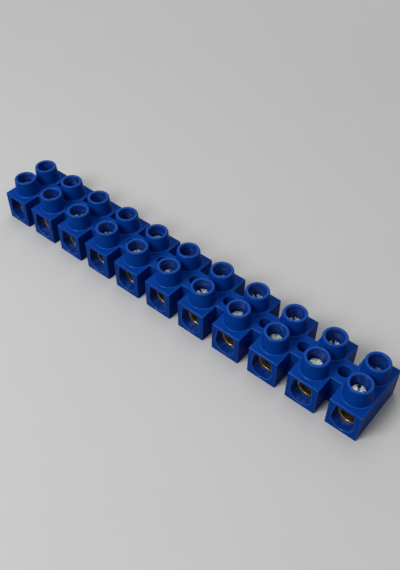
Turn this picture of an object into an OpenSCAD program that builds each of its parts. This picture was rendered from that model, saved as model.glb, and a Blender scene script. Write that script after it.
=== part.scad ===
// Terminal strip: one moulded housing with a row of pole blocks joined by webs, a brass terminal in
// each block, and two slotted clamp screws in each terminal, one behind each wire entry.
// The housing is drawn as one length for each pole, and the lengths meet face to face.
// Millimetres. X runs along the strip, Y from the front row to the back row, Z up from the underside.

/* [Strip] */
// Number of poles in the row
poles = 11; // [2:1:16]
// Distance from one pole to the next
pitch = 12; // [11:0.1:16]

/* [Pole block] */
// Width of one block along the strip
block_w = 8.9; // [8.2:0.1:10.5]
// Depth of a block from its front face to its back face
block_d = 18.6; // [17.6:0.2:26]
// Height of the deck above the underside
deck_h = 9.4; // [9:0.1:12]
// Depth of the web that joins two blocks
web_d = 7.4; // [5.6:0.1:12]
// Diameter of the fixing hole through each web
fixing_hole_d = 3.5; // [2.4:0.1:4.2]
// Radius of the moulded edges of the blocks and webs
edge_r = 0.25; // [0.1:0.05:0.4]

/* [Collars] */
// Distance between the front and the back row of collars
row_spacing = 8.2; // [7.8:0.1:9.2]
// Height of a collar above the deck
collar_h = 5; // [3:0.1:8]
// Outside diameter of a collar at its rim
collar_top_d = 6.6; // [5.8:0.1:7]
// Outside diameter of a collar where its foot starts to spread
collar_base_d = 7.4; // [6.6:0.1:7.6]
// Radius of the spreading foot where a collar meets the deck
collar_foot_r = 0.25; // [0.1:0.05:0.5]
// Diameter of the screwdriver well inside a collar
well_d = 4.8; // [4.6:0.1:5.4]

/* [Wire entries] */
// Radius of the round lower part of a wire entry
entry_r = 3.05; // [2.7:0.05:3.3]
// Thickness of plastic under a wire entry
floor_t = 0.9; // [0.5:0.1:1.2]
// Thickness of the deck over a wire entry
roof_t = 1; // [0.6:0.1:1.6]
// Inward lean of the sides of a wire entry, in degrees
entry_lean = 7.5; // [2:0.5:10]
// Radius of the upper corners of a wire entry
entry_corner_r = 0.5; // [0.2:0.1:1]

/* [Terminals] */
// Thickness of brass between a tapped hole and the end of its terminal
terminal_end_wall = 0.45; // [0.3:0.05:1.5]
// Thickness of brass around the round lower part of the wire bore
terminal_wall = 0.85; // [0.5:0.05:0.9]
// Clearance between a terminal and the passage that holds it
terminal_gap = 0.08; // [0.03:0.01:0.2]

/* [Screws] */
// Thread diameter of a clamp screw
screw_d = 4; // [3:0.1:4.1]
// Length of a clamp screw
screw_len = 5; // [4.2:0.1:6]
// Radial clearance between a screw and its tapped hole
thread_gap = 0.05; // [0.02:0.01:0.1]
// Radial clearance between a screw and the hole in the deck
deck_gap = 0.2; // [0.1:0.05:0.25]
// Depth of the front screws' heads below the rims of their collars
front_head_depth = 3; // [1.8:0.1:4]
// Depth of the back screws' heads below the rims of their collars
back_head_depth = 3.6; // [1.8:0.1:5]
// Width of a screw's driver slot
slot_w = 0.7; // [0.5:0.1:1.2]
// Depth of a screw's driver slot
slot_depth = 1.2; // [0.6:0.1:1.8]
// Bevel around a screw's head
head_bevel = 0.3; // [0.1:0.05:0.6]
// Bevel around a screw's tip
tip_bevel = 0.6; // [0.2:0.1:1]

/* [Hidden] */
$fn = 64;
// length by which a cut runs past the face that it opens
overcut = 1;

// sides of the strip: the front row faces the viewer and the back row lies behind it
FRONT = 0;
BACK = 1;
side_names = ["front", "back"];
// driver slots stand as the screws were left, as degrees from the strip's length
slot_turns = [
    [20, 75, 140, 10, 60, 95, 160, 32, 38, 18, 110],
    [105, 40, 160, 85, 15, 130, 55, 142, 133, 123, 126]
];
// and each stands this much below its row's depth, as it was left
head_drops = [
    [0, 0.2, -0.1, 0.1, 0, 0.2, -0.1, 0.1, 0, 0, 0],
    [0.1, -0.2, 0.2, 0, -0.3, 0.1, 0.2, -0.3, 0, 0.1, 0.8]
];

entry_z = floor_t + entry_r;
entry_top = deck_h - roof_t;
rim_z = deck_h + collar_h;
tapped_d = screw_d + 2 * thread_gap;
terminal_len = row_spacing + tapped_d + 2 * terminal_end_wall;
terminal_top = entry_top - terminal_gap;
wire_bore_r = entry_r - terminal_gap - terminal_wall;

// place of the cut between two lengths, from the left pole's middle: half-way between the fixing hole
// and the next wire entry
cut_x = (pitch / 2 + fixing_hole_d / 2 + pitch - entry_r) / 2;

function pole_x(pole) = (pole - (poles + 1) / 2) * pitch;
function row_y(side) = (side - 0.5) * row_spacing;
function as_left(values, pole, side) = values[side][(pole - 1) % len(values[side])];
function row_depth(side) = side == FRONT ? front_head_depth : back_head_depth;
function head_z(pole, side) = rim_z - row_depth(side) - as_left(head_drops, pole, side);

function two_digits(number) = str(number < 10 ? "0" : "", number);
function housing_name(pole) = str("housing_", two_digits(pole));
function terminal_name(pole) = str("terminal_", two_digits(pole));
function screw_name(pole, side) = str("screw_", two_digits(pole), "_", side_names[side]);

// Section that stands on its base line, with its two upper corners rounded
module upright_section(width) {
    square_h = deck_h - edge_r;
    translate([-width / 2, 0])
        square([width, square_h]);
    translate([edge_r - width / 2, 0])
        square([width - 2 * edge_r, deck_h]);
    for (side = [-1, 1])
        translate([side * (width / 2 - edge_r), square_h])
            circle(r = edge_r);
}

// Plan of a block, with rounded corners
module block_plan() {
    square([block_w, block_d - 2 * edge_r], center = true);
    square([block_w - 2 * edge_r, block_d], center = true);
    for (x = [-1, 1], y = [-1, 1])
        translate([x * (block_w / 2 - edge_r), y * (block_d / 2 - edge_r)])
            circle(r = edge_r);
}

// Block with every edge rounded except those of its underside
module block() {
    intersection() {
        linear_extrude(deck_h)
            block_plan();
        rotate([90, 0, 0])
            linear_extrude(block_d, center = true)
                upright_section(block_w);
        rotate([90, 0, 90])
            linear_extrude(block_w, center = true)
                upright_section(block_d);
    }
}

// Web from the middle of one block to the middle of the next, flush with their decks
module web() {
    rotate([90, 0, 90])
        linear_extrude(pitch)
            upright_section(web_d);
}

// Tapered collar with a rounded rim and a spreading foot, standing on z = 0 around its well
module collar() {
    well_r = well_d / 2;
    rim_r = (collar_top_d - well_d) / 4;
    base_r = collar_base_d / 2;
    rotate_extrude() {
        polygon([
            [well_r, 0],
            [base_r, 0],
            [base_r, collar_foot_r],
            [collar_top_d / 2, collar_h - rim_r],
            [well_r, collar_h - rim_r]
        ]);
        intersection() {
            translate([well_r + rim_r, collar_h - rim_r])
                circle(r = rim_r);
            translate([well_r, collar_h - rim_r])
                square([2 * rim_r, rim_r]);
        }
        difference() {
            translate([base_r, 0])
                square(collar_foot_r);
            translate([base_r + collar_foot_r, collar_foot_r])
                circle(r = collar_foot_r);
        }
    }
}

// Outline of a wire passage seen from the front: round below, sides leaning in to a flat top
module passage_outline(inset) {
    round_r = entry_r - inset;
    corner_z = entry_top - inset - entry_corner_r;
    corner_x = (round_r - entry_corner_r - (corner_z - entry_z) * sin(entry_lean)) / cos(entry_lean);
    lean = [cos(entry_lean), sin(entry_lean)];
    right = [
        [0, entry_z] + round_r * lean,
        [corner_x, corner_z] + entry_corner_r * lean,
        [corner_x, corner_z],
        [corner_x, corner_z + entry_corner_r]
    ];
    left = [for (i = [len(right) - 1:-1:0]) [-right[i][0], right[i][1]]];
    translate([0, entry_z])
        circle(r = round_r);
    for (side = [-1, 1])
        translate([side * corner_x, corner_z])
            circle(r = entry_corner_r);
    polygon(concat(right, left));
}

// The same outline carried through the block from front to back
module passage(inset, length) {
    rotate([90, 0, 0])
        linear_extrude(length, center = true)
            passage_outline(inset);
}

// Moulding from one pole to another, with the webs between them
module moulding(first, last) {
    difference() {
        union() {
            for (pole = [first:last])
                translate([pole_x(pole), 0, 0]) {
                    block();
                    for (side = [FRONT, BACK])
                        translate([0, row_y(side), deck_h])
                            collar();
                }
            for (pole = [first:1:last - 1])
                translate([pole_x(pole), 0, 0])
                    web();
        }
        for (pole = [first:last]) {
            translate([pole_x(pole), 0, 0])
                passage(0, block_d + 2 * overcut);
            for (side = [FRONT, BACK])
                translate([pole_x(pole), row_y(side), entry_z])
                    cylinder(d = screw_d + 2 * deck_gap, h = deck_h + overcut - entry_z);
        }
        for (pole = [first:1:last - 1])
            translate([pole_x(pole) + pitch / 2, 0, -overcut])
                cylinder(d = fixing_hole_d, h = deck_h + 2 * overcut);
    }
}

// One pole's length of the moulding: its block, the web after it and the near wall of the next block
module housing(pole) {
    left = pole_x(pole) - (pole == 1 ? block_w : pitch - cut_x);
    right = pole_x(pole) + (pole == poles ? block_w : cut_x);
    color("#1747b0")
        intersection() {
            moulding(pole, min(pole + 1, poles));
            translate([left, -block_d, -overcut])
                cube([right - left, 2 * block_d, rim_z + 2 * overcut]);
        }
}

// Brass terminal with a wire bore from end to end and two tapped holes from above
module terminal(pole) {
    color("#b98b3e")
        translate([pole_x(pole), 0, 0])
            difference() {
                passage(terminal_gap, terminal_len);
                translate([0, 0, entry_z])
                    rotate([90, 0, 0])
                        cylinder(r = wire_bore_r, h = terminal_len + 2 * overcut, center = true);
                for (side = [FRONT, BACK])
                    translate([0, row_y(side), entry_z])
                        cylinder(d = tapped_d, h = terminal_top + overcut - entry_z);
            }
}

// Headless clamp screw with a driver slot, standing at its own place in the strip
module screw(pole, side) {
    screw_r = screw_d / 2;
    color("#c9ccd1")
        translate([pole_x(pole), row_y(side), head_z(pole, side)])
            difference() {
                rotate_extrude()
                    polygon([
                        [0, -screw_len],
                        [screw_r - tip_bevel, -screw_len],
                        [screw_r, tip_bevel - screw_len],
                        [screw_r, -head_bevel],
                        [screw_r - head_bevel, 0],
                        [0, 0]
                    ]);
                rotate([0, 0, as_left(slot_turns, pole, side)])
                    translate([-screw_d, -slot_w / 2, -slot_depth])
                        cube([2 * screw_d, slot_w, slot_depth + overcut]);
            }
}

for (pole = [1:poles]) {
    housing(pole);
    terminal(pole);
    for (side = [FRONT, BACK])
        screw(pole, side);
}
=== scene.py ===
"""Finish of a screw terminal strip: moulded plastic housing, brass terminals, slotted clamp screws.

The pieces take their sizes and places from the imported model, which is loaded first. Lengths are in
metres, unless their comment says otherwise.
"""

import math
from contextlib import contextmanager
from itertools import pairwise
from typing import NamedTuple

import bmesh
import bpy
import numpy as np
from bpy.props import FloatProperty, FloatVectorProperty, IntProperty, PointerProperty
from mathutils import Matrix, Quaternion, Vector


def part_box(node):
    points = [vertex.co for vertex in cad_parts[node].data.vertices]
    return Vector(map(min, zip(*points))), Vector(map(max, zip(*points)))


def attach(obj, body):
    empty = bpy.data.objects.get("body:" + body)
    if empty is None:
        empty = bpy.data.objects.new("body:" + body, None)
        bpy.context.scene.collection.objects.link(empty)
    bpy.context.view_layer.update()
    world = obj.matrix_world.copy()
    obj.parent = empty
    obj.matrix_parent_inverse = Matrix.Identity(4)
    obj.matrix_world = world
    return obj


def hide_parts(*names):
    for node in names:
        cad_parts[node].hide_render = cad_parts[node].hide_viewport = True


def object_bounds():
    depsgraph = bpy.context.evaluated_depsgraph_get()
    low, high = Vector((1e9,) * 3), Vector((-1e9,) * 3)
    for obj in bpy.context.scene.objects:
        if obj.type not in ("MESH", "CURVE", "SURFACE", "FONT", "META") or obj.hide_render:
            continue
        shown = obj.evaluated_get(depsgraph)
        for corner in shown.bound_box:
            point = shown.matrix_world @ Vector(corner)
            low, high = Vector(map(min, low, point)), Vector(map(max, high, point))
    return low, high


bl_info = {
    "name": "Terminal Strip Finish",
    "version": (1, 0, 0),
    "blender": (4, 5, 0),
    "location": "View3D > Sidebar > Terminal Strip",
    "description": "Dresses a screw terminal strip and sets it on a plain stage",
    "category": "Object",
}

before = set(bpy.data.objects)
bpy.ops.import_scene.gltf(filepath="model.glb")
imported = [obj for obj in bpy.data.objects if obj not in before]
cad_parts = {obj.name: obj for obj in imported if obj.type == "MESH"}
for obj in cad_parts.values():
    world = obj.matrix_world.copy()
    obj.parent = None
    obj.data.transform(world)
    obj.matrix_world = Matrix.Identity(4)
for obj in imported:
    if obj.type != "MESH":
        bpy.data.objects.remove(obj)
cad_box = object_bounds()

housing_nodes = sorted(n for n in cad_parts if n.startswith("housing"))
terminal_nodes = sorted(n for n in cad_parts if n.startswith("terminal"))
screw_nodes = sorted(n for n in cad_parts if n.startswith("screw"))

MM = 0.001
STRIP_BODY = "strip"

# Distance within which points are one point, and within which two measures are the same
WELD = 1e-6
MEASURE = 0.005 * MM

# Angle up to which triangles make one flat face, past which an edge is rounded, and past which the
# edge of a screw is shaded sharp
FLAT = math.radians(0.3)
SHARP = math.radians(40)
SCREW_SHARP = math.radians(38)

# Steps across a rounded edge, and its profile, of which 0.5 is an arc
ROUND_STEPS = 3
ROUND_PROFILE = 0.5

# Reach of the housing's marks: below the top of a rim, around a screw's axis, beyond a terminal's box,
# and up from a terminal's top to the deck
RIM_HEIGHT = 0.6 * MM
WELL_REACH = 3 * MM
ENTRY_REACH = 0.25 * MM
DECK_ABOVE_TERMINAL = 1.05 * MM

# How squarely a well's face looks at its axis, and the most that an entry's face looks along the wire
WELL_FACING = 0.95
ENTRY_SLANT = 0.5

# Share of rubbing, with its painted highlight, on the rims, the collars' feet, the lips of the entries
# and the other edges, and the bend from which a surface counts as an edge
RIM_RUB_HIGHLIGHT = 0.55
FOOT_RUB_HIGHLIGHT = 0.9
LIP_RUB_HIGHLIGHT = 0.9
EDGE_RUB_HIGHLIGHT = 0.7
LEAST_BEND = 0.25

# Grid of a screw: points on a lobe and on an end of the slot, and on the four runs round the screw (back
# lobe, left end, front lobe, right end), rings on the head and on the tip, and passes that fit the
# columns to the slot
LOBE_POINTS = 28
END_POINTS = 5
RUN_POINTS = (LOBE_POINTS, END_POINTS, LOBE_POINTS, END_POINTS)
HEAD_RINGS = 7
TIP_RINGS = 5
FIT_PASSES = 3

# Thread: slope of its flank, and the part of the flank that its flat crest cuts off
FLANK_SLOPE = 1.35
CREST_CUT = 0.2

# Plastic: roughness of the skin, with what a hairline adds to it and cuts into the grain, and gloss
# where polished pins shaped it and where handling rubs it
PLASTIC_ROUGHNESS = (0.36, 0.46)
PLASTIC_HAIRLINE_ROUGHNESS = 0.1
PLASTIC_HAIRLINE_HEIGHT = -0.5
PIN_GLOSS = (0.06, 0.45)
RUBBED_GLOSS = 0.5

# Brass: tarnishing that smudges and sawn ends add to that of the drilled rings, darkening that bores add
# as painted shade, and roughness, with what hairlines, bores and sawn ends add to it
SMUDGE_TARNISH = 0.25
BORE_SHADE = 0.2
SAWN_TARNISH = -0.1
BRASS_ROUGHNESS = (0.22, 0.34)
BRASS_HAIRLINE_ROUGHNESS = 0.12
BORE_ROUGHNESS = 0.14
SAWN_ROUGHNESS = 0.24

# Zinc: roughness, with what hairlines and a head's flat add to it, angle of the turning rings' wave for
# each millimetre from the axis, height of the streaks beside the rings, and scale of the screw's place
# that sets its streaks apart from its neighbours'
ZINC_ROUGHNESS = (0.3, 0.42)
ZINC_HAIRLINE_ROUGHNESS = 0.1
HEAD_ROUGHNESS = 0.12
RING_ANGLE = 28.0
STREAK_HEIGHT = -3.0
STREAK_PLACE_SCALE = (20, 20, 20)

# Stage: width of the camera's frame in millimetres, the depths between which it sees, reach of the
# floor, lines of its grid, and brightness of its darker patches
FRAME_WIDTH = 36
NEAREST = 0.001
FARTHEST = 100
FLOOR_REACH = 2
FLOOR_LINES = 9
FLOOR_DIP = 0.97
BLACK = (0, 0, 0)

# Middle of a noise, name of the shared node group, and sockets of a node that mixes colours
NOISE_MIDDLE = 0.5
HANDLING_GROUP = "Handling marks"
MIX_SHARE = 0
MIX_FIRST = 6
MIX_SECOND = 7
MIX_RESULT = 2


class Lamp(NamedTuple):
    """A soft square lamp that faces the middle of the strip, with its power in watts."""

    place: tuple
    width: float
    power: float


LAMPS = {
    "key_lamp": Lamp(place=(-0.11, -0.4, 0.44), width=0.26, power=2.4),
    "top_lamp": Lamp(place=(-0.06, 0.1, 0.5), width=0.3, power=0.45),
    "back_lamp": Lamp(place=(-0.22, 0.36, 0.42), width=0.36, power=0.3),
}


# Sizes and colours that a user would change


class HousingFinish(bpy.types.PropertyGroup):
    """Moulded plastic of the housing."""

    edge_break: FloatProperty(
        name="Edge break",
        description="Rounding of the sharp edges, such as those of the wells and the fixing holes",
        default=0.09 * MM,
        unit="LENGTH",
    )
    lip_break: FloatProperty(
        name="Entry lip",
        description="Rounding of the lips around the wire entries",
        default=0.26 * MM,
        unit="LENGTH",
    )
    colour: FloatVectorProperty(
        name="Plastic",
        description="Colour of the plastic",
        default=(0.0008, 0.042, 0.285),
        subtype="COLOR",
    )
    pale_colour: FloatVectorProperty(
        name="Flow marks",
        description="Colour of the paler flow marks in the plastic",
        default=(0.0015, 0.05, 0.315),
        subtype="COLOR",
    )
    # Darker colour of the polished wells and entries: painted shade of those recesses
    recess_shade_colour: FloatVectorProperty(
        name="Polished skin",
        description="Colour of the plastic where the mould's polished pins shaped it",
        default=(0.0008, 0.031, 0.24),
        subtype="COLOR",
    )
    # Paler scuffs in the wells and entries, which also paint highlights and reflections there
    scuff_and_glint_colour: FloatVectorProperty(
        name="Scuffs",
        description="Colour of the scuffs that tools and wires left in the wells and entries",
        default=(0.055, 0.11, 0.29),
        subtype="COLOR",
    )
    # Paler colour of the edges, rims, collars' feet and entry lips: a painted highlight over the wear
    rubbed_highlight_colour: FloatVectorProperty(
        name="Rubbed edges",
        description="Colour of the edges that handling has rubbed",
        default=(0.004, 0.08, 0.41),
        subtype="COLOR",
    )


class BrassFinish(bpy.types.PropertyGroup):
    """Drilled brass of the terminals."""

    edge_break: FloatProperty(
        name="Edge break",
        description="Rounding of a terminal's edges",
        default=0.15 * MM,
        unit="LENGTH",
    )
    colour: FloatVectorProperty(
        name="Brass",
        description="Colour of clean brass",
        default=(0.7, 0.53, 0.27),
        subtype="COLOR",
    )
    # Dark colour of tarnish, which also paints shade inside the bores
    tarnish_and_shade: FloatVectorProperty(
        name="Tarnish",
        description="Colour of tarnished brass",
        default=(0.16, 0.11, 0.045),
        subtype="COLOR",
    )


class ScrewFinish(bpy.types.PropertyGroup):
    """Zinc plated clamp screws."""

    thread_pitch: FloatProperty(
        name="Thread pitch",
        description="Distance from one turn of the thread to the next",
        default=0.7 * MM,
        unit="LENGTH",
    )
    thread_depth: FloatProperty(
        name="Thread depth",
        description="Depth of the thread from crest to root",
        default=0.4 * MM,
        unit="LENGTH",
    )
    rows_per_turn: IntProperty(
        name="Rows per turn",
        description="Rows of the grid along one turn of the thread",
        default=10,
        min=4,
    )
    colour: FloatVectorProperty(
        name="Zinc",
        description="Colour of the bright plating",
        default=(0.9, 0.95, 0.94),
        subtype="COLOR",
    )
    tint: FloatVectorProperty(
        name="Plating tint",
        description="Colour of the yellowish patches in the plating",
        default=(0.8, 0.87, 0.78),
        subtype="COLOR",
    )
    # Dark colour of the streaks over a screw's head, a painted reflection of its turned face
    painted_reflection_streak: FloatVectorProperty(
        name="Head streaks",
        description="Colour of the dull streaks that spread out over a screw's head",
        default=(0.05, 0.08, 0.08),
        subtype="COLOR",
    )


class StageSettings(bpy.types.PropertyGroup):
    """Camera, floor and surroundings."""

    azimuth: FloatProperty(
        name="Azimuth",
        description="Turn of the camera around the strip, from straight in front",
        default=math.radians(39.81),
        subtype="ANGLE",
    )
    elevation: FloatProperty(
        name="Elevation",
        description="Height of the camera above the horizon",
        default=math.radians(45.92),
        subtype="ANGLE",
    )
    roll: FloatProperty(
        name="Roll",
        description="Turn of the camera about its own line of sight",
        default=math.radians(0.543),
        subtype="ANGLE",
    )
    distance: FloatProperty(
        name="Distance",
        description="Distance from the camera to the point that it looks at",
        default=198.91 * MM,
        unit="LENGTH",
    )
    target: FloatVectorProperty(
        name="Target",
        description="Point that the camera looks at",
        default=(2.33 * MM, 6.44 * MM, 0.0),
        subtype="TRANSLATION",
    )
    lens: FloatProperty(
        name="Lens",
        description="Focal length in millimetres on a 36 mm frame",
        default=42.81,
        unit="CAMERA",
    )
    floor_colour: FloatVectorProperty(
        name="Floor",
        description="Colour of the floor",
        default=(0.6, 0.6, 0.6),
        subtype="COLOR",
    )
    sky_colour: FloatVectorProperty(
        name="Surroundings",
        description="Colour of the surroundings beyond the floor",
        default=(0.62, 0.62, 0.62),
        subtype="COLOR",
    )
    bounce_colour: FloatVectorProperty(
        name="Bounce",
        description="Colour of the floor for the light that it throws back onto the strip",
        default=(0.07, 0.07, 0.07),
        subtype="COLOR",
    )
    fade_start: FloatProperty(
        name="Fade start",
        description="Distance from the strip's middle at which the floor starts to fade away",
        default=0.08,
        unit="LENGTH",
    )
    fade_end: FloatProperty(
        name="Fade end",
        description="Distance from the strip's middle at which the floor looks like the surroundings",
        default=0.55,
        unit="LENGTH",
    )
    surround_light: FloatProperty(
        name="Surrounding light",
        description="Strength of the even light from all around",
        default=0.42,
    )


# Objects and meshes


def new_object(name, data):
    """A new object of the scene, at the origin, that shows a mesh, a camera or a light."""
    made = bpy.data.objects.new(name, data)
    bpy.context.scene.collection.objects.link(made)
    return made


def aimed_object(name, data, place, direction):
    """A camera or lamp that stands at a place and looks in a direction."""
    made = new_object(name, data)
    made.location = place
    made.rotation_mode = "QUATERNION"
    made.rotation_quaternion = direction.to_track_quat("-Z", "Y")
    return made


@contextmanager
def edited(mesh):
    """A mesh that is opened for editing, and written back at the end."""
    work = bmesh.new()
    work.from_mesh(mesh)
    yield work
    work.to_mesh(mesh)
    work.free()


def mesh_object(name, points, faces):
    """A welded mesh object with outward faces from an array of points and an array of faces."""
    mesh = bpy.data.meshes.new(name)
    mesh.from_pydata(points, [], faces.tolist())
    with edited(mesh) as work:
        bmesh.ops.remove_doubles(work, verts=work.verts, dist=WELD)
        bmesh.ops.dissolve_degenerate(work, edges=work.edges, dist=WELD)
        bmesh.ops.recalc_face_normals(work, faces=work.faces)
    return new_object(name, mesh)


def read_field(items, field, width=3, kind=float):
    """One field of all points, faces or corners of a mesh, as an array with a row for each of them."""
    values = np.empty(len(items) * width, dtype=kind)
    items.foreach_get(field, values)
    return values.reshape(-1, width)


def node_box(node):
    """A CAD node's lowest and highest corners as two arrays."""
    low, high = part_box(node)
    return np.array(low), np.array(high)


def node_triangles(node):
    """A CAD node's corners and triangles as two arrays."""
    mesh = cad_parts[node].data
    mesh.calc_loop_triangles()
    points = read_field(mesh.vertices, "co")
    return points, read_field(mesh.loop_triangles, "vertices", kind=np.int64)


def joined_nodes(nodes, seams):
    """Corners and triangles of several CAD nodes, less the faces that lie on the planes x = seam."""
    all_points, all_faces, count = [], [], 0
    for node in nodes:
        points, faces = node_triangles(node)
        off_seams = np.abs(points[faces, :1] - seams).max(axis=1) > WELD
        all_points.append(points)
        all_faces.append(faces[off_seams.all(axis=1)] + count)
        count += len(points)
    return np.concatenate(all_points), np.concatenate(all_faces)


def flatten(piece):
    """Closes the slits between joined nodes, and makes each flat stretch of triangles one face."""
    with edited(piece.data) as work:
        open_edges = [e for e in work.edges if len(e.link_faces) == 1]
        bmesh.ops.holes_fill(work, edges=open_edges, sides=0)
        bmesh.ops.dissolve_limit(work, angle_limit=FLAT, verts=work.verts, edges=work.edges)


def sharp_edges(work):
    """The edges of a mesh where two faces meet at a sharp angle."""
    return [e for e in work.edges if len(e.link_faces) == 2 and e.calc_face_angle() > SHARP]


def round_edges(work, edges, width, mark, share):
    """Rounds edges to a width, and gives the new faces a share of a face mark."""
    rounded = bmesh.ops.bevel(
        work,
        geom=edges,
        offset=width,
        offset_type="OFFSET",
        segments=ROUND_STEPS,
        profile=ROUND_PROFILE,
        affect="EDGES",
        clamp_overlap=False,
        miter_outer="ARC",
    )
    layer = work.faces.layers.float[mark]
    for face in rounded["faces"]:
        face[layer] = share


def smooth_faces(piece):
    """Smooth shading in which the large faces stay flat and only the rounded edges turn."""
    piece.data.shade_smooth()
    piece.modifiers.new("Flat faces", "WEIGHTED_NORMAL").keep_sharp = False


def face_middles(piece):
    """The middle and the normal of each face of a piece, as two arrays."""
    faces = piece.data.polygons
    return read_field(faces, "center"), read_field(faces, "normal")


def mark_faces(piece, name, share):
    """A named face attribute with a share from 0 to 1 for each face."""
    mark = piece.data.attributes.new(name, "FLOAT", "FACE")
    mark.data.foreach_set("value", share.astype(np.float32))


def grid_faces(rows, columns, start=0, closed=False):
    """Four-cornered faces of a grid of points in rows, joined end to end if it is closed."""
    index = start + np.arange(rows * columns).reshape(rows, columns)
    beside = np.roll(index, -1, axis=1) if closed else index[:, 1:]
    here = index if closed else index[:, :-1]
    return np.stack([here[:-1], beside[:-1], beside[1:], here[1:]], axis=-1).reshape(-1, 4)


def joined_grids(closed_grids, open_grids):
    """Points and faces of several grids of points in rows, some of them joined end to end."""
    points, faces, count = [], [], 0
    for grids, closed in ((closed_grids, True), (open_grids, False)):
        for grid in grids:
            rows, columns = grid.shape[:2]
            points.append(grid.reshape(-1, 3))
            faces.append(grid_faces(rows, columns, count, closed))
            count += rows * columns
    return np.concatenate(points), np.concatenate(faces)


def between(first, last, steps):
    """Rows of points on straight lines from each point of the first row to its match in the last."""
    share = np.linspace(0, 1, steps).reshape(-1, *[1] * np.ndim(first))
    return first + share * (last - first)


class ScrewSizes(NamedTuple):
    """Sizes and place of one clamp screw."""

    radius: float
    length: float
    head_bevel: float
    tip_bevel: float
    slot_depth: float
    slot_width: float
    slot_along: np.ndarray
    top: np.ndarray


def measured_screw(points):
    """The sizes of a CAD screw from its corners.

    The corners at the full radius stand at three heights: at the tip's bevel, on the slot's floor and
    at the head's bevel. Those on the floor lie at the two ends of the slot, so their longest direction
    runs along it and their spread across that direction is its width.
    """
    low, high = points.min(axis=0), points.max(axis=0)
    away = points - (low + high) / 2
    across = np.hypot(away[:, 0], away[:, 1])
    rim = away[across > across.max() - MEASURE]
    steps = np.unique(np.round(rim[:, 2] / MEASURE))
    tip_bevel, floor, head_bevel = steps * MEASURE
    ends = rim[np.abs(rim[:, 2] - floor) < MEASURE, :2]
    along = np.linalg.svd(ends, full_matrices=False)[2][0]
    along = along * np.sign(along[0] or along[1])
    half = (high[2] - low[2]) / 2
    return ScrewSizes(
        radius=(high[0] - low[0]) / 2,
        length=2 * half,
        head_bevel=half - head_bevel,
        tip_bevel=half + tip_bevel,
        slot_depth=half - floor,
        slot_width=np.ptp(ends @ (-along[1], along[0])),
        slot_along=along,
        top=np.array([(low[0] + high[0]) / 2, (low[1] + high[1]) / 2, high[2]]),
    )


def thread_radius(outline, turn, z, finish, radius):
    """Radius of a threaded side: the outline, or the thread where that is lower.

    With t the place along the pitch, from 0 to 1, the thread stands at the radius less its depth times
    the flank, which rises from 0 at the crest (t = 0.5) to 1 at the root and is cut off flat at both.
    """
    place = np.mod(z / finish.thread_pitch - turn, 1.0)
    flank = np.clip(FLANK_SLOPE * np.abs(2 * place - 1) - CREST_CUT, 0, 1)
    return np.minimum(outline, radius - finish.thread_depth * flank)


def screw_side(sizes, finish):
    """Points of a screw's threaded side in rows down from z = 0, and the row on the slot's floor.

    Columns go round the screw in four runs. A run's columns share the angle between its two slot edges
    evenly, and a slot edge lies at the angle whose sine is half the slot's width over the radius there.
    That radius follows from the angle in turn, so both are worked out in a few passes. The outline is
    bevelled at the head and at the tip.
    """
    radius, length, depth = sizes.radius, sizes.length, sizes.slot_depth
    depth_rows = round(depth / finish.thread_pitch * finish.rows_per_turn)
    body_rows = round((length - depth) / finish.thread_pitch * finish.rows_per_turn)
    upper = np.linspace(0, -depth, depth_rows)
    lower = np.linspace(-depth, -length, body_rows)
    z = np.concatenate([upper, lower[1:]])[:, None]
    from_head = np.clip(-z / sizes.head_bevel, 0, 1)
    from_tip = np.clip((z + length) / sizes.tip_bevel, 0, 1)
    outline = radius - sizes.head_bevel * (1 - from_head) - sizes.tip_bevel * (1 - from_tip)

    along = np.concatenate([np.linspace(0, 1, points)[:-1] for points in RUN_POINTS])
    run = np.repeat(np.arange(len(RUN_POINTS)), [points - 1 for points in RUN_POINTS])
    across = np.full((len(z), len(along)), radius)
    for _ in range(FIT_PASSES):
        edge = np.arcsin(sizes.slot_width / 2 / across)
        lobe_angle = edge + along * (math.pi - 2 * edge)
        end_angle = math.pi - edge + along * 2 * edge
        angle = np.where(run % 2 == 0, lobe_angle, end_angle) + np.where(run >= 2, math.pi, 0)
        across = thread_radius(outline, angle / (2 * math.pi), z, finish, radius)
    side = np.stack([across * np.cos(angle), across * np.sin(angle), z + 0 * angle], axis=-1)
    return side, depth_rows - 1


def slotted_screw(sizes, finish):
    """Points and faces of a slotted grub screw about Z, with its head at z = 0 and its slot along X.

    The side goes all round below the slot's floor, and stands on the two lobes alone above it. Straight
    rows close the rest: rings from the side to the middle of the tip, rows from each lobe's rim to its
    edge of the slot, the slot's two walls, and its floor from end to end.
    """
    side, floor_row = screw_side(sizes, finish)
    starts = np.cumsum([0, *(points - 1 for points in RUN_POINTS)])
    runs = [np.arange(first, last + 1) % starts[-1] for first, last in pairwise(starts)]
    back, left, front, right = runs
    tip = np.broadcast_to((0, 0, -sizes.length), side[-1].shape)
    closed_grids = [side[floor_row:], between(side[-1], tip, TIP_RINGS)]
    open_grids = []
    for lobe in (back, front):
        wall = side[: floor_row + 1, lobe]
        slot_edge = between(wall[0, 0], wall[0, -1], LOBE_POINTS)
        open_grids.append(wall)
        open_grids.append(between(wall[0], slot_edge, HEAD_RINGS))
        open_grids.append(between(wall[:, 0], wall[:, -1], LOBE_POINTS))
    floor = side[floor_row]
    open_grids.append(between(floor[right][::-1], floor[left], LOBE_POINTS))
    return joined_grids(closed_grids, open_grids)


# Materials


def new_material(name):
    """A new node material, its tree and its Principled shader, which is joined to the output."""
    material = bpy.data.materials.new(name)
    material.use_nodes = True
    tree = material.node_tree
    shader = next(n for n in tree.nodes if n.type == "BSDF_PRINCIPLED")
    return material, tree, shader


def set_inputs(tree, node, inputs):
    """Sets inputs of a node to values, or joins them to sockets."""
    for key, value in inputs.items():
        socket = node.inputs[key]
        if isinstance(value, bpy.types.NodeSocket):
            tree.links.new(value, socket)
        else:
            socket.default_value = value


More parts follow.
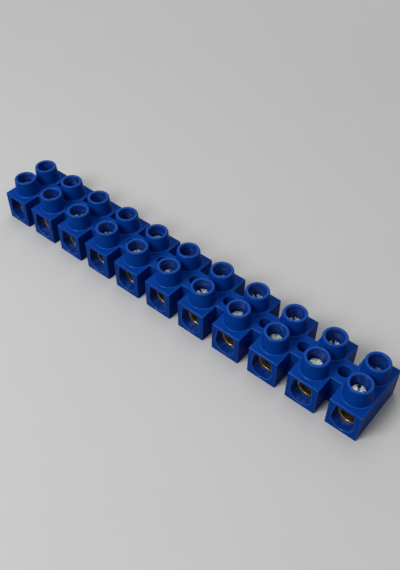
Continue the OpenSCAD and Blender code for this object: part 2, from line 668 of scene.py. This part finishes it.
def add_node(tree, kind, inputs=None, **settings):
    """A new node of a tree, with its settings and inputs made."""
    node = tree.nodes.new(kind)
    for key, value in settings.items():
        setattr(node, key, value)
    set_inputs(tree, node, inputs or {})
    return node


def math_node(tree, operation, *values, clamp=False):
    """The result of one arithmetic step on values or sockets."""
    inputs = dict(enumerate(values))
    return add_node(tree, "ShaderNodeMath", inputs, operation=operation, use_clamp=clamp).outputs[0]


def vector_math(tree, operation, *vectors):
    """The result of one step on vectors, which is a number for a length."""
    node = add_node(tree, "ShaderNodeVectorMath", dict(enumerate(vectors)), operation=operation)
    return node.outputs["Value" if operation == "LENGTH" else "Vector"]


def spread(tree, value, given=(0, 1), wanted=(0, 1), course="LINEAR"):
    """A value carried from a given range to a wanted one on a course, and held at its ends."""
    names = ("Value", "From Min", "From Max", "To Min", "To Max")
    inputs = dict(zip(names, (value, *given, *wanted)))
    settings = {"clamp": True, "interpolation_type": course}
    return add_node(tree, "ShaderNodeMapRange", inputs, **settings).outputs[0]


def colour_mix(tree, share, first, second):
    """A colour between two colours, each of them a socket or three numbers."""
    inputs = {MIX_SHARE: share}
    for key, colour in ((MIX_FIRST, first), (MIX_SECOND, second)):
        inputs[key] = colour if isinstance(colour, bpy.types.NodeSocket) else (*colour, 1)
    return add_node(tree, "ShaderNodeMix", inputs, data_type="RGBA").outputs[MIX_RESULT]


def object_place(tree):
    """A point's place in the frame of the part."""
    return add_node(tree, "ShaderNodeTexCoord").outputs["Object"]


def stretched(tree, scale):
    """A point's place multiplied by a scale along each axis."""
    inputs = {"Vector": object_place(tree), "Scale": scale}
    return add_node(tree, "ShaderNodeMapping", inputs).outputs[0]


def noise(tree, vector, scale, detail=2.0, roughness=0.5):
    """A noise value that varies about its middle."""
    inputs = {"Vector": vector, "Scale": scale, "Detail": detail, "Roughness": roughness}
    return add_node(tree, "ShaderNodeTexNoise", inputs).outputs[0]


def surface_grain(tree, vector, scale, fine_scale, fine_share):
    """Height of a fine grain: a noise, and a share of a finer one added to it."""
    broad = noise(tree, vector, scale)
    return math_node(tree, "MULTIPLY_ADD", noise(tree, vector, fine_scale), fine_share, broad)


def face_mark(tree, name):
    """The value of a face attribute that mark_faces made."""
    return add_node(tree, "ShaderNodeAttribute", attribute_name=name).outputs["Fac"]


def bumped(tree, height, strength, distance):
    """A normal that follows a height."""
    inputs = {"Height": height, "Strength": strength, "Distance": distance}
    return add_node(tree, "ShaderNodeBump", inputs).outputs[0]


def handling_group():
    """Marks of handling: broad smudges, and hairlines where a noise passes through its middle."""
    group = bpy.data.node_groups.new(HANDLING_GROUP, "ShaderNodeTree")
    group.interface.new_socket("Vector", in_out="INPUT", socket_type="NodeSocketVector")
    for label in ("Smudge Scale", "Hairline Scale", "Hairline Width"):
        group.interface.new_socket(label, in_out="INPUT", socket_type="NodeSocketFloat")
    for label in ("Smudge", "Hairline"):
        group.interface.new_socket(label, in_out="OUTPUT", socket_type="NodeSocketFloat")
    source = group.nodes.new("NodeGroupInput").outputs
    smudge = noise(group, source["Vector"], source["Smudge Scale"], detail=4, roughness=0.6)
    lines = noise(group, source["Vector"], source["Hairline Scale"], detail=1, roughness=0.4)
    away = math_node(group, "ABSOLUTE", math_node(group, "SUBTRACT", lines, NOISE_MIDDLE))
    hairline = spread(group, away, given=(0, source["Hairline Width"]), wanted=(1, 0))
    broken = spread(group, smudge, given=(0.45, 0.6))
    masks = {
        "Smudge": spread(group, smudge, given=(0.35, 0.65)),
        "Hairline": math_node(group, "MULTIPLY", hairline, broken),
    }
    set_inputs(group, group.nodes.new("NodeGroupOutput"), masks)
    return group


def handling_marks(tree, vector, smudge_scale, hairline_scale, width):
    """The smudge and hairline masks of the shared group, which is built when it is first asked for."""
    group = bpy.data.node_groups.get(HANDLING_GROUP) or handling_group()
    inputs = {
        "Vector": vector,
        "Smudge Scale": smudge_scale,
        "Hairline Scale": hairline_scale,
        "Hairline Width": width,
    }
    marks = add_node(tree, "ShaderNodeGroup", inputs, node_tree=group).outputs
    return marks["Smudge"], marks["Hairline"]


def moulded_plastic(finish):
    """Blue moulded plastic: a satin skin with flow marks and a fine grain, glossy where it was polished.

    The mould's pins leave the wells and the entries smooth, and their darker colour there is painted
    shade. Tools and wires scuff them, and the paler scuffs also paint highlights and reflections there.
    Handling rubs the edges smooth, and their paler colour on the edges, rims, collars' feet and entry
    lips is a painted highlight.
    """
    material, tree, shader = new_material("moulded_plastic")
    place = object_place(tree)
    smudge, hairline = handling_marks(tree, place, smudge_scale=130, hairline_scale=210, width=0.006)
    polished = face_mark(tree, "polished")
    uneven = spread(tree, smudge, wanted=(0.7, 1))
    # Edges, rims, feet and lips that the base colour paints paler as a highlight
    rubbed_and_highlit = math_node(tree, "MULTIPLY", face_mark(tree, "rubbed_and_highlit"), uneven)

    flow = noise(tree, stretched(tree, (1, 0.45, 1)), scale=260, detail=5, roughness=0.6)
    scoring = noise(tree, stretched(tree, (1, 0.55, 2.4)), scale=620, detail=3, roughness=0.6)
    # Scuffs in the wells and entries, painted paler to stand for highlights and reflections too
    scuffs = spread(tree, scoring, given=(0.46, 0.7), wanted=(0, 0.6))
    scuffs_and_glints = math_node(tree, "MULTIPLY", polished, scuffs)
    flow_share = spread(tree, flow, given=(0.35, 0.7))
    skin = colour_mix(tree, flow_share, finish.colour, finish.pale_colour)
    # Darker colour on the polished faces: painted shade in the wells and entries
    recess_shaded = colour_mix(tree, polished, skin, finish.recess_shade_colour)
    with_scuffs_and_glints = colour_mix(tree, scuffs_and_glints, recess_shaded, finish.scuff_and_glint_colour)

    satin = spread(tree, smudge, wanted=PLASTIC_ROUGHNESS)
    shine = spread(tree, scoring, given=(0.42, 0.62), wanted=PIN_GLOSS)
    pin_gloss = math_node(tree, "MULTIPLY", polished, shine)
    worn_gloss = math_node(tree, "MULTIPLY", rubbed_and_highlit, RUBBED_GLOSS)
    grain = surface_grain(tree, place, scale=2600, fine_scale=9620, fine_share=0.5)
    height = math_node(tree, "MULTIPLY_ADD", hairline, PLASTIC_HAIRLINE_HEIGHT, grain)
    look = {
        # paler colour on the marked edges, rims, feet and lips: a painted highlight
        "Base Color": colour_mix(tree, rubbed_and_highlit, with_scuffs_and_glints, finish.rubbed_highlight_colour),
        "Roughness": math_node(tree, "MULTIPLY_ADD", hairline, PLASTIC_HAIRLINE_ROUGHNESS, satin),
        "Specular IOR Level": 0.025,
        "Coat Weight": math_node(tree, "MAXIMUM", pin_gloss, worn_gloss),
        "Coat Roughness": 0.15,
        "Coat IOR": 1.45,
        "Normal": bumped(tree, height, strength=0.2, distance=0.01 * MM),
    }
    set_inputs(tree, shader, look)
    return material


def drilled_brass(finish):
    """Brass with drilled bores: rings that follow one another along Y, and tarnished patches.

    The sawn ends are duller than the rest, and the bores are a little dull too and darker, which is
    painted shade inside them.
    """
    material, tree, shader = new_material("drilled_brass")
    place = object_place(tree)
    smudge, hairline = handling_marks(tree, place, smudge_scale=420, hairline_scale=500, width=0.01)
    sawn = face_mark(tree, "sawn")
    bored = face_mark(tree, "bored")

    drilled = noise(tree, stretched(tree, (0.12, 1, 0.12)), scale=2400, detail=3, roughness=0.65)
    stained = math_node(tree, "MULTIPLY_ADD", smudge, SMUDGE_TARNISH, drilled)
    tarnish_and_shade = spread(tree, stained, given=(0.5, 0.75), wanted=(0.1, 1))
    tarnish_and_shade = math_node(tree, "MULTIPLY_ADD", sawn, SAWN_TARNISH, tarnish_and_shade)
    # Darker bores: painted shade inside the holes
    tarnish_and_shade = math_node(tree, "MULTIPLY_ADD", bored, BORE_SHADE, tarnish_and_shade, clamp=True)

    rough = spread(tree, smudge, wanted=BRASS_ROUGHNESS)
    rough = math_node(tree, "MULTIPLY_ADD", hairline, BRASS_HAIRLINE_ROUGHNESS, rough)
    rough = math_node(tree, "MULTIPLY_ADD", sawn, SAWN_ROUGHNESS, rough)
    look = {
        "Base Color": colour_mix(tree, tarnish_and_shade, finish.colour, finish.tarnish_and_shade),
        "Metallic": 1.0,
        "Roughness": math_node(tree, "MULTIPLY_ADD", bored, BORE_ROUGHNESS, rough),
        "Normal": bumped(tree, drilled, strength=0.5, distance=0.06 * MM),
    }
    set_inputs(tree, shader, look)
    return material


def zinc_steel(finish):
    """Bright zinc on turned steel: rings about a screw's axis, dark streaks out over its head, patches.

    The streaks are a noise on the direction from the axis, so they spread out like rays, and their dark
    colour is a painted reflection of the turned head, which also sinks them in the bump. The screw's own
    place is added to that direction, so no two heads are alike.
    """
    material, tree, shader = new_material("zinc_steel")
    place = object_place(tree)
    smudge, hairline = handling_marks(tree, place, smudge_scale=900, hairline_scale=1500, width=0.02)
    faced = face_mark(tree, "faced")

    turned = add_node(tree, "ShaderNodeUVMap", uv_map="turned").outputs[0]
    outward = vector_math(tree, "NORMALIZE", turned)
    own_direction = vector_math(tree, "ADD", stretched(tree, STREAK_PLACE_SCALE), outward)
    rays = noise(tree, own_direction, scale=5.5)
    # Dark streaks over the head: a painted reflection of the turned face
    painted_reflection_streak = math_node(tree, "MULTIPLY", faced, spread(tree, rays, given=(0.49, 0.55)))
    plating = colour_mix(tree, smudge, finish.colour, finish.tint)

    rough = spread(tree, smudge, wanted=ZINC_ROUGHNESS)
    rough = math_node(tree, "MULTIPLY_ADD", hairline, ZINC_HAIRLINE_ROUGHNESS, rough)
    radius = vector_math(tree, "LENGTH", turned)
    wobble = noise(tree, place, scale=3000)
    rings = math_node(tree, "SINE", math_node(tree, "MULTIPLY_ADD", radius, RING_ANGLE, wobble))
    height = math_node(tree, "MULTIPLY_ADD", painted_reflection_streak, STREAK_HEIGHT, rings)
    look = {
        "Base Color": colour_mix(tree, painted_reflection_streak, plating, finish.painted_reflection_streak),
        "Metallic": 1.0,
        "Roughness": math_node(tree, "MULTIPLY_ADD", faced, HEAD_ROUGHNESS, rough),
        "Normal": bumped(tree, height, strength=0.15, distance=0.006 * MM),
    }
    set_inputs(tree, shader, look)
    return material


def seen_directly(tree):
    """1 for a ray from the camera, from a reflection or through glass, and 0 for scattered light."""
    rays = add_node(tree, "ShaderNodeLightPath").outputs
    seen = math_node(tree, "MAXIMUM", rays["Is Camera Ray"], rays["Is Glossy Ray"])
    return math_node(tree, "MAXIMUM", seen, rays["Is Transmission Ray"])


def pale_floor(settings):
    """Matt floor with a faint unevenness, which fades far away into the colour of the surroundings.

    It is pale where it is seen, and darker for the light that it scatters.
    """
    material, tree, shader = new_material("pale_floor")
    place = object_place(tree)
    fade = (settings.fade_start, settings.fade_end)
    far = spread(tree, vector_math(tree, "LENGTH", place), given=fade, course="SMOOTHSTEP")
    seen = seen_directly(tree)
    dip = tuple(FLOOR_DIP * c for c in settings.floor_colour)
    pale = colour_mix(tree, noise(tree, place, scale=60, detail=3), dip, settings.floor_colour)
    shown = colour_mix(tree, seen, settings.bounce_colour, pale)
    glow = math_node(tree, "MULTIPLY", far, seen)
    look = {
        "Base Color": colour_mix(tree, far, shown, BLACK),
        "Emission Color": colour_mix(tree, glow, BLACK, settings.sky_colour),
        "Emission Strength": 1.0,
        "Roughness": 1.0,
        "Specular IOR Level": 0.0,
    }
    set_inputs(tree, shader, look)
    return material


# Pieces


def finish_piece(piece, material, body, slot, *nodes):
    """Gives a piece its material and its body, and hides the CAD nodes that it stands for. The slot is
    not used.
    """
    piece.data.materials.append(material)
    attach(piece, body)
    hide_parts(*nodes)


class STRIP_OT_mould_housing(bpy.types.Operator):
    """Joins the housing's lengths into the one moulding that they are, and breaks its sharp edges"""

    bl_idname = "terminal_strip.mould_housing"
    bl_label = "Mould housing"

    def execute(self, context):
        finish = context.scene.strip_housing
        seams = [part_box(node)[0].x for node in housing_nodes[1:]]
        piece = mesh_object("moulded_housing", *joined_nodes(housing_nodes, seams))
        flatten(piece)
        self.mark_finish(piece)
        self.break_edges(piece, finish)
        smooth_faces(piece)
        finish_piece(piece, moulded_plastic(finish), STRIP_BODY, "housing_plastic", *housing_nodes)
        return {"FINISHED"}

    def mark_finish(self, piece):
        """Marks the faces that polished pins shaped, in the wells and entries, and the faces that are
        worn and painted paler as a highlight.

        A rim gets the more of that mark, the more it faces up, as a painted highlight from above. A
        rounded edge or foot gets it by its bend, twice the product of the two parts of its normal, which
        is 1 at 45 degrees and 0 where the edge ends, so the painted highlight is brightest halfway round
        the edge.
        """
        middles, normals = face_middles(piece)
        deck = max(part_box(node)[1].z for node in terminal_nodes) + DECK_ABOVE_TERMINAL
        above = middles[:, 2] > deck
        polished = (self.in_wells(middles, normals) & above) | self.in_entries(middles, normals)
        level = np.hypot(normals[:, 0], normals[:, 1])
        up = np.maximum(normals[:, 2], 0)
        upright_bend = 2 * np.abs(normals[:, 0] * normals[:, 1]) * ~above
        bend = np.maximum(2 * level * up, upright_bend)
        bend = np.clip((bend - LEAST_BEND) / (1 - LEAST_BEND), 0, 1)
        # Rims, feet and edges get the mark that paints them paler as a highlight
        rim = middles[:, 2] > cad_box[1].z - RIM_HEIGHT
        shares = [0, RIM_RUB_HIGHLIGHT * up, FOOT_RUB_HIGHLIGHT * bend]
        mark_faces(piece, "polished", polished)
        mark_faces(piece, "rubbed_and_highlit", np.select([polished, rim, above], shares, EDGE_RUB_HIGHLIGHT * bend))

    def in_wells(self, middles, normals):
        """True for each face that lies close around a screw's axis and looks at it."""
        found = np.zeros(len(middles), dtype=bool)
        for node in screw_nodes:
            low, high = node_box(node)
            away = middles[:, :2] - (low + high)[:2] / 2
            distance = np.hypot(away[:, 0], away[:, 1])
            inward = (away * normals[:, :2]).sum(axis=1) < -WELL_FACING * distance
            found |= (distance < WELL_REACH) & inward
        return found

    def in_entries(self, middles, normals):
        """True for each face that lies around a wire's way through a terminal, and not across it."""
        found = np.zeros(len(middles), dtype=bool)
        for node in terminal_nodes:
            low, high = node_box(node)
            beside = (middles > low - ENTRY_REACH) & (middles < high + ENTRY_REACH)
            found |= beside[:, 0] & beside[:, 2] & (np.abs(normals[:, 1]) < ENTRY_SLANT)
        return found

    def break_edges(self, piece, finish):
        """Rounds the lips of the entries, and more narrowly all other sharp edges."""
        lips, others = [], []
        with edited(piece.data) as work:
            for edge in sharp_edges(work):
                (lips if self.on_lip(edge) else others).append(edge)
            round_edges(work, others, finish.edge_break, "rubbed_and_highlit", EDGE_RUB_HIGHLIGHT)
            round_edges(work, lips, finish.lip_break, "rubbed_and_highlit", LIP_RUB_HIGHLIGHT)

    def on_lip(self, edge):
        """True for an edge in the front or back face that stays clear of the underside."""
        ends = [v.co for v in edge.verts]
        return all(abs(abs(end.y) - cad_box[1].y) < MEASURE and end.z > MEASURE for end in ends)


class STRIP_OT_drill_terminals(bpy.types.Operator):
    """Gives each brass terminal its broken edges, sawn ends and drilled bores"""

    bl_idname = "terminal_strip.drill_terminals"
    bl_label = "Drill terminals"

    def execute(self, context):
        finish = context.scene.strip_brass
        material = drilled_brass(finish)
        for node in terminal_nodes:
            name = node.replace("terminal", "brass_terminal")
            piece = mesh_object(name, *node_triangles(node))
            flatten(piece)
            self.mark_cuts(piece, node)
            with edited(piece.data) as work:
                round_edges(work, sharp_edges(work), finish.edge_break, "sawn", 0.0)
            smooth_faces(piece)
            finish_piece(piece, material, STRIP_BODY, "terminal_brass", node)
        return {"FINISHED"}

    def mark_cuts(self, piece, node):
        """Marks the sawn ends, and the faces of the bores, which face the wire's axis.

        That axis runs along Y in the middle of the terminal's round lower part, as high as half its
        width.
        """
        low, high = node_box(node)
        middles, normals = face_middles(piece)
        sawn = np.minimum(middles[:, 1] - low[1], high[1] - middles[:, 1]) < MEASURE
        half_width = (high[0] - low[0]) / 2
        away = middles[:, [0, 2]] - (low[0] + half_width, low[2] + half_width)
        bored = (away * normals[:, [0, 2]]).sum(axis=1) < 0
        mark_faces(piece, "sawn", sawn)
        mark_faces(piece, "bored", bored & ~sawn)


class STRIP_OT_cut_screws(bpy.types.Operator):
    """Builds each clamp screw with its thread and slot, where its plain solid stands"""

    bl_idname = "terminal_strip.cut_screws"
    bl_label = "Cut screws"

    def execute(self, context):
        finish = context.scene.strip_screws
        material = zinc_steel(finish)
        for node in screw_nodes:
            sizes = measured_screw(node_triangles(node)[0])
            points, faces = slotted_screw(sizes, finish)
            x, y = sizes.slot_along
            turned = points @ np.array([[x, y, 0], [-y, x, 0], [0, 0, 1]]) + sizes.top
            piece = mesh_object(node.replace("screw", "clamp_screw"), turned, faces)
            self.mark_turning(piece, sizes)
            piece.data.shade_smooth()
            piece.data.set_sharp_from_angle(angle=SCREW_SHARP)
            finish_piece(piece, material, node, "screw_steel", node)
        return {"FINISHED"}

    def mark_turning(self, piece, sizes):
        """Maps each point's place from the screw's axis in millimetres, and marks the head's flat."""
        mesh = piece.data
        corners = read_field(mesh.loops, "vertex_index", width=1, kind=np.int64).ravel()
        away = (read_field(mesh.vertices, "co") - sizes.top)[corners, :2] / MM
        mesh.uv_layers.new(name="turned").data.foreach_set("uv", away.ravel())
        mark_faces(piece, "faced", face_middles(piece)[0][:, 2] > sizes.top[2] - MEASURE)


class STRIP_OT_set_stage(bpy.types.Operator):
    """Sets the camera, the pale floor and the soft lamps"""

    bl_idname = "terminal_strip.set_stage"
    bl_label = "Set stage"

    def execute(self, context):
        settings = context.scene.strip_stage
        self.camera(context.scene, settings)
        self.floor(settings)
        self.world(context.scene, settings)
        self.lamps()
        context.scene.view_settings.view_transform = "Standard"
        return {"FINISHED"}

    def camera(self, scene, settings):
        """A camera that looks at the target from a distance, an azimuth and an elevation, and rolls."""
        level, height = math.cos(settings.elevation), math.sin(settings.elevation)
        aside, ahead = math.sin(settings.azimuth), math.cos(settings.azimuth)
        back = Vector((aside * level, -ahead * level, height))
        lens = bpy.data.cameras.new("camera")
        lens.lens = settings.lens
        lens.sensor_width = FRAME_WIDTH
        lens.clip_start = NEAREST
        lens.clip_end = FARTHEST
        place = Vector(settings.target) + settings.distance * back
        camera = aimed_object("camera", lens, place, -back)
        roll = Quaternion((0, 0, 1), settings.roll)
        camera.rotation_quaternion = camera.rotation_quaternion @ roll
        scene.camera = camera

    def floor(self, settings):
        """A wide flat floor that the strip stands on."""
        reach = np.linspace(-FLOOR_REACH, FLOOR_REACH, FLOOR_LINES)
        x, y = np.meshgrid(reach, reach)
        points = np.stack([x, y, 0 * x], axis=-1).reshape(-1, 3)
        floor = mesh_object("floor", points, grid_faces(FLOOR_LINES, FLOOR_LINES))
        floor.data.materials.append(pale_floor(settings))

    def world(self, scene, settings):
        """Dim even light, and a pale surround where a camera or a reflection looks past the floor."""
        world = bpy.data.worlds.new("surroundings")
        world.use_nodes = True
        tree = world.node_tree
        background = next(n for n in tree.nodes if n.type == "BACKGROUND")
        strength = spread(tree, seen_directly(tree), wanted=(settings.surround_light, 1))
        set_inputs(tree, background, {"Color": (*settings.sky_colour, 1), "Strength": strength})
        scene.world = world

    def lamps(self):
        """Soft square lamps around the strip."""
        for name, lamp in LAMPS.items():
            light = bpy.data.lights.new(name, "AREA")
            light.size = lamp.width
            light.energy = lamp.power
            aimed_object(name, light, lamp.place, -Vector(lamp.place))


class STRIP_PT_panel(bpy.types.Panel):
    """Finish of the terminal strip"""

    bl_idname = "STRIP_PT_panel"
    bl_label = "Terminal Strip"
    bl_space_type = "VIEW_3D"
    bl_region_type = "UI"
    bl_category = "Terminal Strip"

    def draw(self, context):
        for operator in OPERATORS:
            self.layout.operator(operator.bl_idname)
        for name in SETTINGS:
            group = getattr(context.scene, name)
            for key in group.bl_rna.properties.keys():
                if key not in ("rna_type", "name"):
                    self.layout.prop(group, key)


SETTINGS = {
    "strip_housing": HousingFinish,
    "strip_brass": BrassFinish,
    "strip_screws": ScrewFinish,
    "strip_stage": StageSettings,
}
OPERATORS = (
    STRIP_OT_set_stage,
    STRIP_OT_mould_housing,
    STRIP_OT_drill_terminals,
    STRIP_OT_cut_screws,
)


def register():
    for group in SETTINGS.values():
        bpy.utils.register_class(group)
    for name, group in SETTINGS.items():
        setattr(bpy.types.Scene, name, PointerProperty(type=group))
    for operator in OPERATORS:
        bpy.utils.register_class(operator)
    bpy.utils.register_class(STRIP_PT_panel)


def unregister():
    bpy.utils.unregister_class(STRIP_PT_panel)
    for operator in reversed(OPERATORS):
        bpy.utils.unregister_class(operator)
    for name, group in SETTINGS.items():
        delattr(bpy.types.Scene, name)
        bpy.utils.unregister_class(group)


def main():
    """Makes the stage and every piece."""
    register()
    bpy.ops.terminal_strip.set_stage()
    bpy.ops.terminal_strip.mould_housing()
    bpy.ops.terminal_strip.drill_terminals()
    bpy.ops.terminal_strip.cut_screws()


if __name__ == "__main__":
    main()
